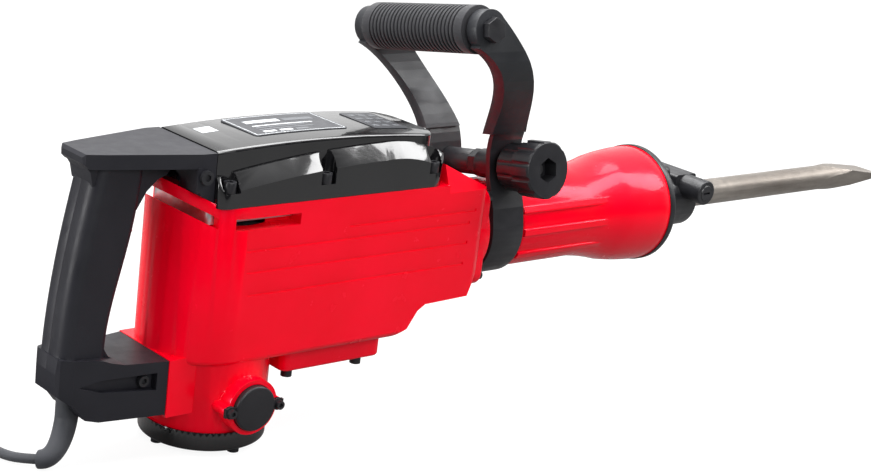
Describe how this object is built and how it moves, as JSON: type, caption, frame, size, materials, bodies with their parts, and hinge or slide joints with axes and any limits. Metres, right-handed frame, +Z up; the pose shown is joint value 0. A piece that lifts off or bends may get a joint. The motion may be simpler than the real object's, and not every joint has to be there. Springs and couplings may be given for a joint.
{
  "type": "electric jackhammer",
  "caption": "Corded electric demolition hammer with upright motor, hex-shank flat chisel, rear D-handle and swivelling clamped side handle.",
  "frame": {"origin": "centre of the tail cover's flat underside, on the upright motor axis", "axes": "+X along the tool axis towards the chisel's edge, +Z up along the motor axis, +Y completes the right-handed set (the clamp knob is on the -Y side)"},
  "size_m": [1.1586, 0.242, 0.3606],
  "materials": {
    "red_casting": "gloss",
    "black_casting": "gloss",
    "black_iron": "satin",
    "blank_label": "satin",
    "red_plastic": "satin",
    "handle_plastic": "matte",
    "arm_plastic": "satin",
    "grip_rubber": "matte",
    "knob_plastic": "satin",
    "black_steel": "satin",
    "tool_steel": "satin",
    "bright_steel": "satin",
    "core_steel": "matte",
    "copper": "satin",
    "carbon": "matte",
    "brass": "satin",
    "bearing_steel": "polished",
    "bare_aluminium": "satin",
    "inner_plastic": "satin",
    "damper_rubber": "matte",
    "cord_rubber": "matte",
    "plated_brass": "polished"
  },
  "bodies": {
    "casing": {"main_housing": "red_casting", "tail_cover": "black_casting", "base_screws": "black_steel", "sump_cover": "red_casting", "gear_cover": "black_casting", "cover_screws": "black_steel", "blank_plates": "blank_label", "front_case": "red_casting", "case_screws": "black_steel", "nose_cover": "black_iron", "nose_bolts": "black_steel", "tool_sleeve": "bright_steel", "handle_near": "handle_plastic", "handle_far": "handle_plastic", "handle_screws": "black_steel", "mount_screws": "black_steel", "switch_body": "inner_plastic", "stator_core": "core_steel", "field_coils": "copper", "carbon_brushes": "carbon", "brush_holders": "brass", "brush_springs": "bright_steel", "brush_caps": "knob_plastic", "brush_screws": "black_steel", "bearing_plate": "bare_aluminium", "bearings": "bearing_steel", "cylinder": "bright_steel", "impact_guide": "bright_steel", "damper_ring": "damper_rubber", "cord_guard": "cord_rubber", "cord_lead": "cord_rubber", "cord_coil": "cord_rubber", "cord_tie": "cord_rubber", "cord_tail": "cord_rubber", "plug_body": "cord_rubber", "plug_pins": "plated_brass"},
    "armature": {"armature_shaft": "bright_steel", "armature_core": "core_steel", "commutator": "copper", "fan": "inner_plastic"},
    "relay": {"relay_shaft": "bright_steel", "relay_gear": "bright_steel"},
    "crank": {"crankshaft": "bright_steel", "crank_gear": "bright_steel"},
    "piston_group": {"piston": "bare_aluminium", "wrist_pin": "bearing_steel"},
    "rod": {"connecting_rod": "bright_steel"},
    "striker_ram": {"striker": "bright_steel"},
    "impact_ram": {"impact_bolt": "bright_steel"},
    "chisel_tool": {"chisel": "tool_steel"},
    "retainer": {"retainer_pin": "black_steel"},
    "side_handle": {"side_strap": "black_steel", "arm_sleeves": "arm_plastic", "side_grip": "grip_rubber", "grip_bolt": "black_steel", "clamp_bolt": "bright_steel", "clamp_spacers": "black_steel"},
    "knob": {"clamp_knob": "knob_plastic"},
    "trigger_lever": {"trigger": "red_plastic"},
    "lock_plunger": {"lock_button": "handle_plastic"}
  },
  "joints": [
    {"name": "armature_spin", "type": "hinge", "parent": "casing", "child": "armature", "pos_m": [0, 0, 0], "axis": [0, 0, 1], "continuous": true},
    {"name": "relay_spin", "type": "hinge", "parent": "casing", "child": "relay", "pos_m": [0.0375, 0, 0], "axis": [0, 0, 1], "continuous": true},
    {"name": "crank_spin", "type": "hinge", "parent": "casing", "child": "crank", "pos_m": [0.0865, 0, 0], "axis": [0, 0, 1], "continuous": true},
    {"name": "piston_slide", "type": "slide", "parent": "casing", "child": "piston_group", "axis": [1, 0, 0], "range_m": [-0.032, 0]},
    {"name": "rod_swing", "type": "hinge", "parent": "piston_group", "child": "rod", "pos_m": [0.1745, 0, 0.1492], "axis": [0, 0, 1], "range_deg": [-12.8, 12.8]},
    {"name": "striker_slide", "type": "slide", "parent": "casing", "child": "striker_ram", "axis": [1, 0, 0], "range_m": [0, 0.045]},
    {"name": "impact_slide", "type": "slide", "parent": "casing", "child": "impact_ram", "axis": [1, 0, 0], "range_m": [0, 0.008]},
    {"name": "chisel_slide", "type": "slide", "parent": "casing", "child": "chisel_tool", "axis": [1, 0, 0], "range_m": [0, 0.02]},
    {"name": "retainer_turn", "type": "hinge", "parent": "casing", "child": "retainer", "pos_m": [0.545, 0, 0.1662], "axis": [0, 1, 0], "range_deg": [0, 180]},
    {"name": "side_handle_swivel", "type": "hinge", "parent": "casing", "child": "side_handle", "pos_m": [0.281, 0, 0.1492], "axis": [1, 0, 0], "continuous": true},
    {"name": "knob_turn", "type": "hinge", "parent": "side_handle", "child": "knob", "pos_m": [0.2845, 0.00988, 0.20249], "axis": [0, -0.9833, 0.1822], "range_deg": [0, 720]},
    {"name": "trigger_squeeze", "type": "hinge", "parent": "casing", "child": "trigger_lever", "pos_m": [-0.099, 0, 0.219], "axis": [0, 1, 0], "range_deg": [0, 9], "stiffness_Nm_per_rad": 0.5, "springref_deg": -5.73},
    {"name": "lock_press", "type": "slide", "parent": "casing", "child": "lock_plunger", "axis": [0, -1, 0], "range_m": [0, 0.003], "stiffness_N_per_m": 200, "springref_m": -0.002}
  ],
  "couplings": [
    {"joint": "relay_spin", "follows": "armature_spin", "ratio": -0.25},
    {"joint": "crank_spin", "follows": "armature_spin", "ratio": 0.081081}
  ]
}
